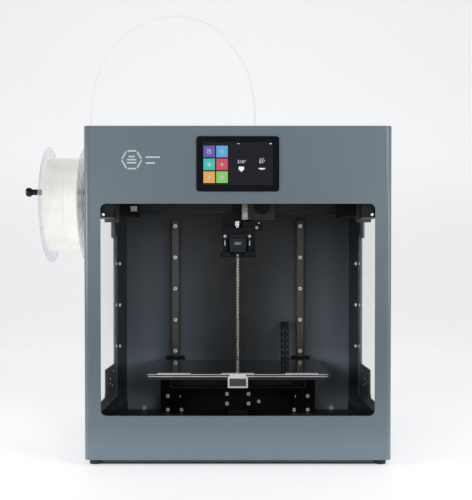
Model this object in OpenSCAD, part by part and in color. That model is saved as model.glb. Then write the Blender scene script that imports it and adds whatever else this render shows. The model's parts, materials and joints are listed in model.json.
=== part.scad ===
// Desktop filament printer: folded sheet body, open front and top, side windows, screen, spool and gantry.
// Origin: centre of the footprint, on the surface that the feet stand on. X right, Y back, Z up.

/* [Body] */
// Width over the side panels
body_w = 437; // [430:1:445]
// Depth from the front panel to the rear cover
body_d = 500; // [496:1:504]
// Height of the sheet-metal body without its feet
body_h = 474; // [472:1:480]
// Height of the rubber feet
foot_h = 8; // [6:1:10]
// Outer radius of the front panel's vertical bends
corner_r = 8.5; // [6:0.5:12]

/* [Front opening] */
// Width of the front opening
opening_w = 389; // [370:1:392]
// Height of the front opening
opening_h = 301; // [280:1:302]
// Height of the opening's lower lip above the table
opening_z = 71; // [70:1:76]

/* [Bed] */
// Width of the build plate
bed_w = 294; // [280:1:296]
// Depth of the build plate
bed_d = 238; // [230:1:240]
// Height of the build plate's top when the bed is fully down
bed_top = 113; // [112:1:114]

/* [Spool] */
// Outer radius of the spool's flanges
spool_r = 100; // [80:1:100]
// Outer radius of the wound filament
winding_r = 81.5; // [40:0.5:95]

/* [Hidden] */
$fn = 64;
sheet = 1.5;
side_t = 3;
half_w = body_w / 2;
front_y = -body_d / 2;
rear_y = body_d / 2;
body_z0 = foot_h;
body_z1 = foot_h + body_h;
side_in = half_w - side_t;
floor_z = body_z0 + sheet;
wall_y = 213;
bed_y0 = -95;
bed_y1 = bed_y0 + bed_d;
rail_x = 120;
rail_y = wall_y - 15;
plate_y = 177;
screw_y = 175;
beam_y = -21;
pulley_r = 5.9;
belt_in = 6.1;
belt_out = 7.4;
belt_z = 430;
shaft_y = 190;
idler_y = -225;
belt_x = 206;
x_pulley_x = 177;
spool_x = -294;
spool_y = 40;
spool_z = 392.3;
rod_z = 415;
rod_len = 140;
nozzle_y = -60;
nozzle_z = 298.5;
motor_x = 39;
motor_z = 381;
chain_x = 89.5;
fan_x = -150;
fan_z = 380;
bolt_pitch = 60;
bolt_z = [for (i = [0:5]) 364.7 - bolt_pitch * i];
lower_route = [[-280, 175, 430], [-280, 175, 450], [-280, 175, 480], [-279, 174, 510], [-278, 173, 540],
    [-276, 170, 575], [-271, 164, 610], [-261, 156, 645], [-240, 142, 680], [-212, 125, 705],
    [-185, 108, 719], [-153, 89, 726], [-130.5, 73.3, 727]];
upper_route = [[-130, 73, 727], [-105, 57, 724], [-80, 41, 716], [-55, 23, 703], [-34, 6, 685],
    [-15, -10, 661], [2, -26, 634], [14, -38, 610], [22, -48, 582], [27, -56, 548],
    [27, -62, 512], [24, -65, 475], [18, -66, 438], [13, -66, 408], [12, -66, 386]];

// A block between two corners
module span(x, y, z) {
    translate([x[0], y[0], z[0]]) cube([x[1] - x[0], y[1] - y[0], z[1] - z[0]]);
}

// A cylinder along X, Y or Z that starts at a point
module bar_x(r, h, p) { translate(p) rotate([0, 90, 0]) cylinder(r = r, h = h); }
module bar_y(r, h, p) { translate(p) rotate([-90, 0, 0]) cylinder(r = r, h = h); }
module bar_z(r, h, p) { translate(p) cylinder(r = r, h = h); }

// A rectangle with round corners, centred on the origin
module rounded(w, h, r) {
    square([w, h - 2 * r], center = true);
    square([w - 2 * r, h], center = true);
    for (x = [-1, 1], y = [-1, 1]) translate([x * (w / 2 - r), y * (h / 2 - r)]) circle(r);
}

// A rounded plate that stands across Y
module plate_xz(w, h, r, t, p) {
    translate([p[0], p[1] + t, p[2]]) rotate([90, 0, 0]) linear_extrude(t) rounded(w, h, r);
}

// A polygon drawn in Y and Z, extruded along X
module slab_yz(points, x, t) {
    translate([x, 0, 0]) rotate([90, 0, 90]) linear_extrude(t) polygon(points);
}

module both_sides() {
    children();
    mirror([1, 0, 0]) children();
}

// A cap screw head facing the front, centred on p at its seat
module screw_front(p, r = 3.2, t = 2.2) { bar_y(r, t, [p[0], p[1] - t, p[2]]); }

// ---------- case ----------
module base_pan() {
    color("#6b767e") difference() {
        union() {
            span([-side_in + 0.2, side_in - 0.2], [front_y + 8.6, rear_y - 2], [body_z0, floor_z]);
            span([-209, 209], [front_y + 2.2, front_y + 8.6], [body_z0, floor_z]);
            both_sides() span([side_in - 1.7, side_in - 0.2], [front_y + 20, wall_y - 0.5], [body_z0, 24]);
            for (y = [front_y + 8.8, rear_y - 13]) span([-194, 194], [y, y + 4], [foot_h - 4.5, body_z0]);
        }
        for (x = [-1, 1], i = [0:5]) span([x * 55 - 30, x * 55 + 30], [-140 + i * 14, -136 + i * 14],
            [body_z0 - 1, floor_z + 1]);
    }
}

module bend_outline(w, r, inset) {
    difference() {
        translate([0, front_y + 30]) rounded(w, 60 - 2 * inset, r);
        translate([-w, front_y + 18]) square([2 * w, 60]);
    }
}

module front_panel() {
    mid_z = opening_z + opening_h / 2;
    color("#6d7c86") difference() {
        union() {
            translate([0, 0, body_z0]) linear_extrude(body_h) difference() {
                bend_outline(body_w, corner_r, 0);
                bend_outline(body_w - 4, corner_r - 2, 2);
            }
            span([-side_in + 7, side_in - 7], [front_y + 1, front_y + 14], [body_z1 - sheet, body_z1]);
        }
        plate_xz(opening_w, opening_h, 8, 4, [0, front_y - 1, mid_z]);
        plate_xz(109, 70, 3, 4, [0, front_y - 1, 428]);
    }
}

// Window outline, with its step at the upper rear corner
window = [[-195, 64], [50, 64], [50, 335], [23, 335], [23, 362], [-195, 362]];

module side_panel() {
    difference() {
        span([side_in, half_w], [front_y + 18.3, rear_y], [body_z0, body_z1]);
        slab_yz(window, side_in - 1, side_t + 2);
    }
}

module left_side_panel() { color("#66747e") mirror([1, 0, 0]) side_panel(); }
module right_side_panel() { color("#66747e") side_panel(); }

module top_frame() {
    color("#6b7983") difference() {
        union() {
            span([-side_in + 0.2, side_in - 0.2], [front_y + 14.2, rear_y - 2], [body_z1 - sheet, body_z1]);
            span([-181.5, 181.5], [-196.5, 196.5], [body_z1 - 12, body_z1]);
        }
        span([-180, 180], [-195, 195], [body_z1 - 14, body_z1 + 1]);
    }
}

module rear_partition() {
    color("#3f464c") difference() {
        span([-side_in + 0.2, side_in - 0.2], [wall_y, wall_y + sheet], [floor_z, 468]);
        plate_xz(15.2, 10.8, 0.4, 4, [chain_x, wall_y - 1, 177]);
        for (x = [-1, 1]) plate_xz(24, 12, 5, 4, [x * 150, wall_y - 1, 452]);
    }
}

module rear_cover() {
    color("#5f6b74") difference() {
        span([-side_in + 0.2, side_in - 0.2], [rear_y - sheet, rear_y], [body_z0, body_z1 - 2]);
        plate_xz(48, 28, 2, 4, [150, rear_y - 3, 60]);
        plate_xz(20, 14, 1, 4, [104, rear_y - 3, 60]);
        bar_y(27, 4, [fan_x, rear_y - 3, fan_z]);
        for (i = [0:11], x = [-60, 60]) plate_xz(70, 5, 2.4, 4, [x, rear_y - 3, 150 + i * 14]);
    }
}

module window_pane() {
    slab_yz([[-201, 58], [56, 58], [56, 341], [29, 341], [29, 368], [-201, 368]], side_in - 3, 3);
}

module left_window() { color("#dfe7ea", 0.35) mirror([1, 0, 0]) window_pane(); }
module right_window() { color("#dfe7ea", 0.35) window_pane(); }

module corner_plates() {
    outline = [[-118, 64.3], [49.7, 64.3], [49.7, 116], [-58, 116], [-58, 78], [-64, 71], [-118, 71]];
    color("#4a4847") both_sides() difference() {
        slab_yz(outline, side_in, 2);
        for (p = [[1, 107], [-7, 84], [-31, 98], [-34, 90]]) bar_x(1.5, 6, [side_in - 1, p[0], p[1]]);
    }
}

module feet() {
    color("#1b1c1d") for (x = [-204.5, 204.5], y = [front_y + 19, rear_y - 19])
        bar_z(9, foot_h, [x, y, 0]);
}

module frame_screws() {
    color("#c9ccd0") {
        both_sides() for (z = bolt_z) bar_y(3.6, 4, [rail_x, rail_y + 1, z]);
        both_sides() for (z = [145, 218, 291]) bar_x(2.6, 1.4, [side_in - 1.4, 62, z]);
        both_sides() screw_front([182, wall_y, 13]);
        both_sides() for (p = [[1, 107], [-7, 84], [-31, 98], [-34, 90]])
            bar_x(2.4, 1.2, [side_in + 2, p[0], p[1]]);
        both_sides() for (z = [20, 466], x = [60, 190]) bar_y(2.8, 1.6, [x, rear_y, z]);
        screw_front([-191, front_y + 7, 357], 2);
        screw_front([191, front_y + 7, 357], 2);
    }
}

module touch_screen() {
    color("#0c0d0f") {
        plate_xz(117, 78, 4.5, 1.2, [0, front_y - 1.2, 428]);
        plate_xz(108, 69, 2.5, 11, [0, front_y, 428]);
    }
}

module power_inlet() {
    color("#18191a") difference() {
        union() {
            plate_xz(54, 34, 3, 2, [150, rear_y, 60]);
            plate_xz(46, 26, 1.5, 20, [150, rear_y - 20, 60]);
        }
        plate_xz(26, 18, 2, 16, [150, rear_y - 12, 60]);
    }
    color("#b9bcc0") for (x = [-7, 0, 7]) span([149 + x, 151 + x], [rear_y - 12, rear_y - 2], [57, 63]);
}

module power_switch() {
    color("#141516") translate([104, rear_y - 1, 60]) difference() {
        union() {
            translate([-7.5, 0, -4.8]) cube([15, 3, 9.6]);
            translate([-7.5, 0, 0]) rotate([0, 90, 0]) cylinder(r = 4.8, h = 15);
        }
        translate([-9, -8, -6]) cube([18, 8, 12]);
    }
}

module power_supply() {
    color("#b6b9bb") difference() {
        span([-60, 155], [wall_y + 3, wall_y + 32], [90, 205]);
        for (i = [0:9]) span([-40 + i * 18, -34 + i * 18], [wall_y + 30, wall_y + 33], [110, 185]);
    }
}

module control_board() {
    color("#2c5a3c") span([-60, 100], [wall_y + 8, wall_y + 9.6], [250, 350]);
    color("#2b2d30") for (i = [0:4]) span([-50 + i * 28, -32 + i * 28], [wall_y + 9.6, wall_y + 20],
        [300, 318]);
    color("#8f9296") for (x = [-55, 95], z = [255, 345]) bar_y(3, 6.5, [x, wall_y + 1.5, z]);
}

module fan_frame() {
    color("#1d1e20") difference() {
        plate_xz(60, 60, 3, 15, [fan_x, rear_y - 16.5, fan_z]);
        bar_y(28, 12.5, [fan_x, rear_y - 14, fan_z]);
        difference() {
            bar_y(28, 6, [fan_x, rear_y - 18, fan_z]);
            bar_y(11, 6, [fan_x, rear_y - 18, fan_z]);
            span([fan_x - 30, fan_x + 30], [rear_y - 18, rear_y - 12], [fan_z - 2, fan_z + 2]);
        }
    }
}

module fan_rotor() {
    color("#26272a") translate([fan_x, rear_y - 13, fan_z]) rotate([-90, 0, 0]) {
        cylinder(r = 12, h = 10);
        for (i = [0:6]) rotate([0, 0, i * 360 / 7]) translate([10, -0.8, 1]) rotate([25, 0, 0])
            cube([16, 1.6, 8]);
    }
}

// ---------- filament side ----------
module spool_rod() {
    color("#202124") {
        bar_x(5, rod_len, [-half_w - rod_len, spool_y, rod_z]);
        bar_x(17, 3, [-half_w - 3, spool_y, rod_z]);
    }
}

module rod_knob() {
    color("#0e0e0f") translate([-half_w - rod_len - 4.7, spool_y, rod_z]) rotate([0, 90, 0]) rotate_extrude()
        intersection() {
            circle(8);
            translate([0, -4.7]) square([8, 9.4]);
        }
}

module spool() {
    color("#e8eef0", 0.4) translate([spool_x, spool_y, spool_z]) rotate([0, 90, 0]) difference() {
        union() {
            for (s = [-1, 1]) translate([0, 0, s * 31 - 1.5]) cylinder(r = spool_r, h = 3);
            translate([0, 0, -31]) cylinder(r = 31.5, h = 62);
        }
        translate([0, 0, -40]) cylinder(r = 28, h = 80);
    }
}

module filament() {
    color("#f2efe6") translate([spool_x, spool_y, spool_z]) rotate([0, 90, 0]) difference() {
        translate([0, 0, -29.2]) cylinder(r = winding_r, h = 58.4);
        translate([0, 0, -40]) cylinder(r = 31.8, h = 80);
    }
}

module filament_sensor() {
    color("#1f2022") {
        span([-half_w - 3, -half_w], [155, 195], [385, 425]);
        span([-272, -half_w - 3], [168, 182], [398, 410]);
        difference() {
            span([-290, -270], [160, 190], [380, 424]);
            bar_z(1.2, 50, [-280, 175, 376]);
        }
    }
    color("#2f3134") difference() {
        bar_z(5, 6, [-280, 175, 424]);
        bar_z(1.2, 10, [-280, 175, 422]);
    }
}

// A plain tube swept along a route, with a ring at each of its points
function flat(v) = [for (a = v) for (b = a) b];
function direction(p, i) = let (a = p[max(i - 1, 0)], b = p[min(i + 1, len(p) - 1)]) (b - a) / norm(b - a);
function ring(c, d, r, n) = let (s = cross(d, [0, 1, 0.2]), u = s / norm(s), v = cross(d, u))
    [for (k = [0:n - 1]) c + r * (cos(k * 360 / n) * u + sin(k * 360 / n) * v)];
function catmull(p, i, t) = let (a = p[max(i - 1, 0)], b = p[i], c = p[i + 1], d = p[min(i + 2, len(p) - 1)])
    0.5 * (2 * b + (c - a) * t + (2 * a - 5 * b + 4 * c - d) * t * t + (3 * b - a - 3 * c + d) * t * t * t);
function smooth(p, m) = [for (i = [0:len(p) - 2], k = [0:m - 1]) catmull(p, i, k / m), p[len(p) - 1]];

module swept(route, r, n) {
    c = smooth(route, 3);
    last = len(c) - 1;
    points = flat([for (i = [0:last]) ring(c[i], direction(c, i), r, n)]);
    sides = flat([for (i = [0:last - 1]) flat([for (k = [0:n - 1]) let (k2 = (k + 1) % n)
        [[i * n + k, (i + 1) * n + k, (i + 1) * n + k2], [i * n + k, (i + 1) * n + k2, i * n + k2]]])]);
    caps = [[for (k = [0:n - 1]) k], [for (k = [n - 1:-1:0]) last * n + k]];
    polyhedron(points = points, faces = concat(sides, caps));
}

module feed_tube_lower() { color("#eef0ee", 0.7) swept(lower_route, 2, 8); }
module feed_tube_upper() { color("#eef0ee", 0.7) swept(upper_route, 2, 8); }

// ---------- Z axis ----------
rail_profile = [[-7.5, 0], [7.5, 0], [7.5, -4], [5.8, -6], [5.8, -9], [7.5, -11], [7.5, -14], [6.5, -15],
    [-6.5, -15], [-7.5, -14], [-7.5, -11], [-5.8, -9], [-5.8, -6], [-7.5, -4]];

module z_rail() {
    difference() {
        translate([rail_x, wall_y, 10]) linear_extrude(365) polygon(rail_profile);
        for (z = bolt_z) bar_y(3.75, 5.2, [rail_x, rail_y - 0.2, z]);
    }
}

module left_z_rail() { color("#7b7874") mirror([1, 0, 0]) z_rail(); }
module right_z_rail() { color("#7b7874") z_rail(); }

module z_blocks() {
    color("#34363a") both_sides() for (z = [10.6, 81]) difference() {
        span([rail_x - 17, rail_x + 17], [185, 208.7], [z, z + 34]);
        span([rail_x - 8, rail_x + 8], [rail_y - 0.4, 209], [z - 1, z + 35]);
    }
}

module z_motor() {
    color("#222326") difference() {
        union() {
            translate([0, screw_y, floor_z + 8]) linear_extrude(26) rounded(42.3, 42.3, 4);
            bar_z(11, 2, [0, screw_y, floor_z + 40]);
        }
        bar_z(2.55, 20, [0, screw_y, floor_z + 26]);
    }
    color("#a9adb1") for (z = [floor_z, floor_z + 34]) difference() {
        translate([0, screw_y, z]) linear_extrude(z == floor_z ? 8 : 6) rounded(42.3, 42.3, 4);
        bar_z(2.55, 20, [0, screw_y, floor_z + 26]);
    }
}

module lead_screw() { color("#b9b4aa") bar_z(4, 322, [0, screw_y, 60]); }

module shaft_coupling() {
    color("#c3c6ca") difference() {
        bar_z(9.5, 24, [0, screw_y, 53]);
        bar_z(4, 30, [0, screw_y, 60]);
        for (a = [0, 90]) translate([0, screw_y, 66]) rotate([0, 0, a]) span([4.5, 12], [-12, 12], [-0.6, 0.6]);
    }
    color("#a0a3a7") bar_z(2.5, 15.9, [0, screw_y, 38]);
}

module lead_nut() {
    color("#b08d4c") difference() {
        union() {
            bar_z(11, 3.5, [0, screw_y, 86]);
            bar_z(5.5, 12, [0, screw_y, 88]);
        }
        bar_z(4.06, 30, [0, screw_y, 80]);
        for (a = [0:90:270]) translate([0, screw_y, 80]) rotate([0, 0, a]) bar_z(1.6, 20, [8, 0, 0]);
    }
}

module screw_bearing() {
    color("#3a3c40") difference() {
        union() {
            span([-20, 20], [155, wall_y], [368, 378]);
            span([-20, 20], [wall_y - 4, wall_y], [350, 368]);
        }
        bar_z(4.06, 20, [0, screw_y, 360]);
    }
}

module carrier_arm() {
    difference() {
        slab_yz([[-66, 103.4], [plate_y, 103.4], [plate_y, 16], [150, 16], [60, 60], [-66, 89]], 99, 3);
        for (i = [0:3]) bar_x(16 - i * 3, 8, [96, 135 - i * 38, 76 + i * 4]);
    }
}

module bed_carrier() {
    color("#2d3033") {
        both_sides() difference() {
            span([99, 147], [plate_y, plate_y + 8], [10.6, 108]);
            for (x = [-13, 13], z = [14.6, 40.6, 85, 105]) bar_y(2.1, 12, [rail_x + x, plate_y - 1, z]);
        }
        both_sides() carrier_arm();
        difference() {
            union() {
                span([-102, 102], [-84, -64], [101.4, 103.4]);
                span([-102, 102], [-84, -64], [89, 91]);
                span([-102, 102], [-66, -64], [89, 103.4]);
                for (x = [-1, 1]) bar_y(7.2, 20, [x * 102, -84, 96.2]);
            }
            for (x = [-1, 1]) bar_y(5.2, 18, [x * 102, -85, 96.2]);
            for (x = [-1, 1]) span([x * 99 - 3, x * 99 + 3], [-85, -67], [91, 101.4]);
        }
        for (y = [-60, 60]) span([-102, 102], [y, y + 22], [101.4, 103.4]);
        difference() {
            union() {
                span([-99, 99], [138, 142], [20, 62]);
                span([-40, 40], [138, 142], [60, 86]);
                span([-25, 25], [141, 192], [82, 86]);
                span([82, 97], [138, 142], [60, 90]);
            }
            bar_z(6, 10, [0, screw_y, 80]);
            for (x = [-20, 20], z = [32, 50]) bar_y(2.1, 8, [x, 136, z]);
            bar_y(2.1, 8, [39, 136, 36]);
        }
    }
}

module carrier_bolts() {
    color("#c9ccd0") {
        both_sides() for (x = [-13, 13], z = [14.6, 40.6, 85, 105]) {
            bar_y(3.3, 2.4, [rail_x + x, plate_y - 2.4, z]);
            bar_y(2, 8, [rail_x + x, plate_y, z]);
        }
        for (x = [-20, 20], z = [32, 50]) {
            bar_y(3.3, 2.4, [x, 135.6, z]);
            bar_y(2, 4, [x, 138, z]);
        }
        bar_y(3, 2.4, [39, 135.6, 36]);
        bar_y(2, 4, [39, 138, 36]);
    }
}

module heated_bed() {
    color("#26282a") span([-143, 143], [bed_y0 + 3, bed_y1 - 3], [103.5, 107]);
    color("#aeb2b5") translate([0, (bed_y0 + bed_y1) / 2, 107]) linear_extrude(3) rounded(bed_w, bed_d, 3);
}

module build_plate() {
    color("#0f1012") translate([0, (bed_y0 + bed_y1) / 2, 110]) linear_extrude(bed_top - 110)
        rounded(bed_w, bed_d, 3);
}

module plate_grip() {
    color("#c8cacc") {
        difference() {
            plate_xz(32, 17.4, 1.5, 3, [0, bed_y0 - 3, 99.8]);
            plate_xz(27.6, 13, 1, 2, [0, bed_y0 - 4, 99.8]);
        }
        span([-13, 13], [bed_y0 - 1.2, bed_y0], [107, bed_top]);
        for (x = [-102, 0, 102]) span([x - 26, x + 26], [bed_y0 - 0.5, bed_y0 + 11], [bed_top, bed_top + 0.8]);
    }
}

module bed_chain() {
    color("#3b3a3c") translate([chain_x, 0, 0]) {
        span([-7.3, 7.3], [186, wall_y + 3], [172, 182]);
        translate([0, 186, 172]) rotate([90, 0, 90]) translate([0, 0, -7.3]) linear_extrude(14.6)
            intersection() {
                circle(10);
                translate([-10, 0]) square(10);
            }
        span([-7.3, 7.3], [176, 186], [66, 172]);
        translate([-7.3, 164.2, 66]) rotate([90, 0, 90]) linear_extrude(14.6) difference() {
            circle(21.8);
            circle(11.8);
            translate([-30, 0]) square(60);
        }
        span([-7.3, 7.3], [142.4, 152.4], [66, 90]);
    }
}

// ---------- gantry ----------
module y_rails() {
    color("#8d9094") both_sides() {
        span([side_in - 8, side_in], [-207, 204], [394, 406]);
        difference() {
            span([189, side_in - 3.2], [-92, -89], [355, 394]);
            bar_y(2, 6, [198, -94, 368]);
        }
    }
}

module idler_blocks() {
    color("#141517") both_sides() difference() {
        span([177, side_in], [front_y + 7, -210], [353, 443]);
        span([belt_x - 5, belt_x + 5], [-236, -209], [420, 444]);
    }
    color("#b7babd") both_sides() bar_x(2, 10.4, [belt_x - 5.2, idler_y, belt_z]);
}

module toothed_wheel(h, bore) {
    difference() {
        union() {
            cylinder(r = pulley_r, h = h);
            cylinder(r = 7.8, h = 0.9);
            translate([0, 0, h - 0.9]) cylinder(r = 7.8, h = 0.9);
        }
        translate([0, 0, -1]) cylinder(r = bore, h = h + 2);
    }
}

module y_idlers() {
    color("#c6c9cc") for (x = [-belt_x, belt_x]) translate([x - 4.5, idler_y, belt_z]) rotate([0, 90, 0])
        toothed_wheel(9, 2.06);
}

module y_shaft() {
    color("#b4b7ba") bar_x(4, 424, [-212, shaft_y, belt_z]);
    color("#c6c9cc") for (x = [-belt_x, belt_x]) translate([x - 4.5, shaft_y, belt_z]) rotate([0, 90, 0])
        toothed_wheel(9, 4);
}

// A closed belt between two wheels, drawn flat around the origin with its run along X
module belt_loop(length, w) {
    linear_extrude(w) difference() {
        union() {
            square([length, 2 * belt_out], center = true);
            for (s = [-1, 1]) translate([s * length / 2, 0]) circle(belt_out);
        }
        square([length, 2 * belt_in], center = true);
        for (s = [-1, 1]) translate([s * length / 2, 0]) circle(belt_in);
    }
}

module y_belts() {
    color("#17181a") for (x = [-belt_x, belt_x]) translate([x - 3, (shaft_y + idler_y) / 2, belt_z])
        rotate([90, 0, 90]) belt_loop(shaft_y - idler_y, 6);
}

module y_motor() {
    color("#222326") difference() {
        translate([60, shaft_y, belt_z]) rotate([90, 0, 90]) linear_extrude(40) rounded(42.3, 42.3, 4);
        bar_x(4.08, 60, [50, shaft_y, belt_z]);
    }
    color("#55585c") difference() {
        span([58, 60], [shaft_y - 21, wall_y], [405, 455]);
        bar_x(6, 10, [55, shaft_y, belt_z]);
    }
}

module gantry_beam() {
    color("#5c6064") difference() {
        span([-165, 165], [-33, -9], [372, 396]);
        for (z = [378, 390]) span([-166, 166], [-12, -8], [z - 2, z + 2]);
        span([-166, 166], [-24, -18], [371, 376]);
    }
}

module gantry_ends() {
    color("#202225") both_sides() {
        difference() {
            union() {
                span([165, 202], [-45, -1], [368, 396.5]);
                span([202, side_in - 2.3], [-40, -6], [386.5, 413.5]);
                span([196, 202], [-40, -6], [396, 414]);
            }
            span([side_in - 8.5, side_in], [-60, 10], [393.5, 406.5]);
            span([165, 170], [-40, -2], [367, 376]);
        }
        span([202, 210], [-30, -12], [413.5, 421.9]);
        span([199.4, 202.3], [-30, -12], [412, 428]);
        span([202, 210], [-30, -12], [424.4, 428]);
    }
    color("#202225") difference() {
        both_sides() span([155.5, 202], [-42, 0], [411, 414]);
        translate([-x_pulley_x, beam_y, 400]) cylinder(r = 11.2, h = 20);
    }
    color("#b7babd") bar_z(2, 16, [x_pulley_x, beam_y, 396]);
    color("#e9e9e6") span([-176, -165.5], [-49, -45], [375, 384]);
    color("#c9ccd0") screw_front([168, -45, 380], 2.8);
}

module x_rail() { color("#b9bcc0") span([-160, 160], [-41, -33], [378, 390]); }

module x_belt() {
    color("#17181a") translate([0, beam_y, 400]) belt_loop(2 * x_pulley_x, 6);
}

module x_motor() {
    color("#222326") difference() {
        translate([-x_pulley_x, beam_y, 414]) linear_extrude(38) rounded(42.3, 42.3, 4);
        bar_z(2.55, 30, [-x_pulley_x, beam_y, 412]);
    }
}

module x_pulley() {
    color("#c6c9cc") translate([-x_pulley_x, beam_y, 398.5]) toothed_wheel(9, 2.5);
    color("#a0a3a7") bar_z(2.5, 30, [-x_pulley_x, beam_y, 398.5]);
}

module x_idler() {
    color("#c6c9cc") translate([x_pulley_x, beam_y, 398.5]) toothed_wheel(9, 2.06);
}

// ---------- print head ----------
module carriage() {
    color("#17191b") {
        difference() {
            span([-9, 41], [-52, -34.6], [365, 397.5]);
            span([-10, 42], [-41.4, -33], [377.6, 390.4]);
            span([-10, 42], [-35, -30], [360, 396]);
        }
        span([-8, 16], [-52, -46], [397, 411]);
        difference() {
            span([-8, 16], [-47, -24.5], [396.8, 409]);
            span([-9, 17], [-29.3, -26.3], [399.6, 412]);
            span([-9, 17], [-46, -33], [398, 412]);
        }
        difference() {
            span([-25, 28], [-54, -50], [300, 366]);
            span([-12, 12], [-56, -48], [314, 343]);
            for (x = [-20.5, 19]) span([x - 1.6, x + 1.6], [-56, -48], [318, 328]);
        }
        difference() {
            span([-25, 28], [-78, -54], [330, 347]);
            bar_z(11.2, 20, [0, nozzle_y, 329]);
            for (x = [-20.5, 19]) bar_y(1.7, 10, [x, -80, 333.4]);
        }
        both_sides() span([16, 25], [-78, -54], [308, 330]);
        span([8, 40], [-72, -54], [344, 357]);
    }
}

module fan_cover() {
    color("#3c4a54") {
        translate([0, -78, 0]) rotate([90, 0, 0]) linear_extrude(9)
            polygon([[-14, 330], [14, 330], [12.3, 308], [-12.3, 308]]);
        span([-12, 12], [-84, -78], [331.5, 335]);
    }
}

module cooling_ducts() {
    color("#3b3e42") for (x = [-20, 20.5]) difference() {
        span([x - 9, x + 9], [-86, -56], [300.5, 308]);
        span([x - 7, x + 7], [-83, -58], [300, 306]);
    }
}

module hot_end() {
    color("#c6c9cc") translate([0, nozzle_y, 0]) {
        difference() {
            translate([0, 0, 316]) cylinder(r = 11, h = 26);
            for (i = [0:5]) translate([0, 0, 319 + i * 3.6]) difference() {
                cylinder(r = 12, h = 1.8);
                translate([0, 0, -1]) cylinder(r = 4.5, h = 4);
            }
        }
        translate([0, 0, 342]) cylinder(r = 6, h = 3.4);
        translate([0, 0, 345]) cylinder(r = 3.2, h = 6);
        translate([0, 0, 351]) cylinder(r = 5.4, h = 7.5);
    }
    color("#9c7a3c") translate([0, nozzle_y, nozzle_z]) rotate_extrude()
        polygon([[0, 0], [0.6, 0], [3.5, 4], [3.5, 6], [2, 6], [2, 18], [0, 18]]);
    color("#8b8f94") difference() {
        span([-8, 8], [nozzle_y - 6, nozzle_y + 5], [304.6, 313]);
        bar_z(2, 20, [0, nozzle_y, 300]);
    }
}

module extruder_motor() {
    color("#26282c") difference() {
        union() {
            plate_xz(42.3, 42.3, 4, 15.8, [motor_x, -70, motor_z]);
            bar_y(11, 2, [motor_x, -72, motor_z]);
        }
        bar_y(2.55, 22, [motor_x, -74, motor_z]);
    }
    color("#ecebe6") {
        difference() {
            bar_z(5, 26, [12, -66, 360]);
            bar_z(2, 12, [12, -66, 376]);
            span([6, 18.2], [-72, -60.6], [359, 360.5]);
        }
        translate([12, -66, 357.2]) cylinder(r1 = 2, r2 = 4, h = 3.4);
    }
}

module extruder_gear() {
    color("#101113") translate([motor_x, -74.4, motor_z]) rotate([90, 0, 0]) {
        difference() {
            cylinder(r = 12.2, h = 4);
            for (i = [0:23]) rotate([0, 0, i * 15]) translate([12.6, 0, -1]) cylinder(r = 0.9, h = 6);
        }
    }
    color("#a0a3a7") bar_y(2.5, 20, [motor_x, -76, motor_z]);
}

module head_screws() {
    color("#d9dadc") {
        for (x = [-20.5, 19]) {
            screw_front([x, -78, 333.4], 2.3, 2.4);
            bar_y(1.6, 8, [x, -78.2, 333.4]);
        }
        screw_front([30.5, -72, 347.4], 2.2, 2);
    }
    color("#b08d4c") screw_front([34, -72, 355], 1.1, 1.6);
}

base_pan();
front_panel();
left_side_panel();
right_side_panel();
top_frame();
rear_partition();
rear_cover();
left_window();
right_window();
corner_plates();
feet();
frame_screws();
touch_screen();
power_inlet();
power_supply();
control_board();
fan_frame();
spool_rod();
rod_knob();
filament_sensor();
left_z_rail();
right_z_rail();
z_motor();
screw_bearing();
y_rails();
idler_blocks();
y_belts();
y_motor();
feed_tube_lower();
bed_chain();
power_switch();
fan_rotor();
spool();
filament();
lead_screw();
shaft_coupling();
z_blocks();
lead_nut();
bed_carrier();
carrier_bolts();
heated_bed();
build_plate();
plate_grip();
y_shaft();
y_idlers();
gantry_beam();
gantry_ends();
x_rail();
x_belt();
x_motor();
x_pulley();
x_idler();
carriage();
fan_cover();
cooling_ducts();
hot_end();
extruder_motor();
extruder_gear();
head_screws();
feed_tube_upper();
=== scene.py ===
"""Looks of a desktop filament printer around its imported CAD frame. Metres, Z up, front towards -Y."""
import json
import math
import random

import bmesh
import bpy
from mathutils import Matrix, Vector


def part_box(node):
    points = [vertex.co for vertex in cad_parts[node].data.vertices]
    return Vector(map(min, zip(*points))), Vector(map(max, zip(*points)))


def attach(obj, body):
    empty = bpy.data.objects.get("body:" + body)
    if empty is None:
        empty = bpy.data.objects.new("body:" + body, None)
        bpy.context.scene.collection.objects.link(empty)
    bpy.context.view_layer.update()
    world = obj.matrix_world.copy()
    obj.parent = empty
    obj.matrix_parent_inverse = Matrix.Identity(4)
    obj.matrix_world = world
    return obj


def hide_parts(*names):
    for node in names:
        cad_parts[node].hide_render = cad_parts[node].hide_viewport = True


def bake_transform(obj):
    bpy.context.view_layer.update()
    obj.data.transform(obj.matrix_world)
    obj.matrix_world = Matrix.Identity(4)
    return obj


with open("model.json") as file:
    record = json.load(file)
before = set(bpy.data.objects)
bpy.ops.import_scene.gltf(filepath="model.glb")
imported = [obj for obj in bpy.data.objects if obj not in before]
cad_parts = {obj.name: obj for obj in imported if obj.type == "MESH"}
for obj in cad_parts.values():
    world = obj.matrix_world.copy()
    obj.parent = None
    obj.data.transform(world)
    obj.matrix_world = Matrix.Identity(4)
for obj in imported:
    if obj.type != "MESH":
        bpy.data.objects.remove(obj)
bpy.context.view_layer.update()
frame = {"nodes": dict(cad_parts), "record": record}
nodes = frame["nodes"]
MM = 0.001
rng = random.Random(7)

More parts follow.
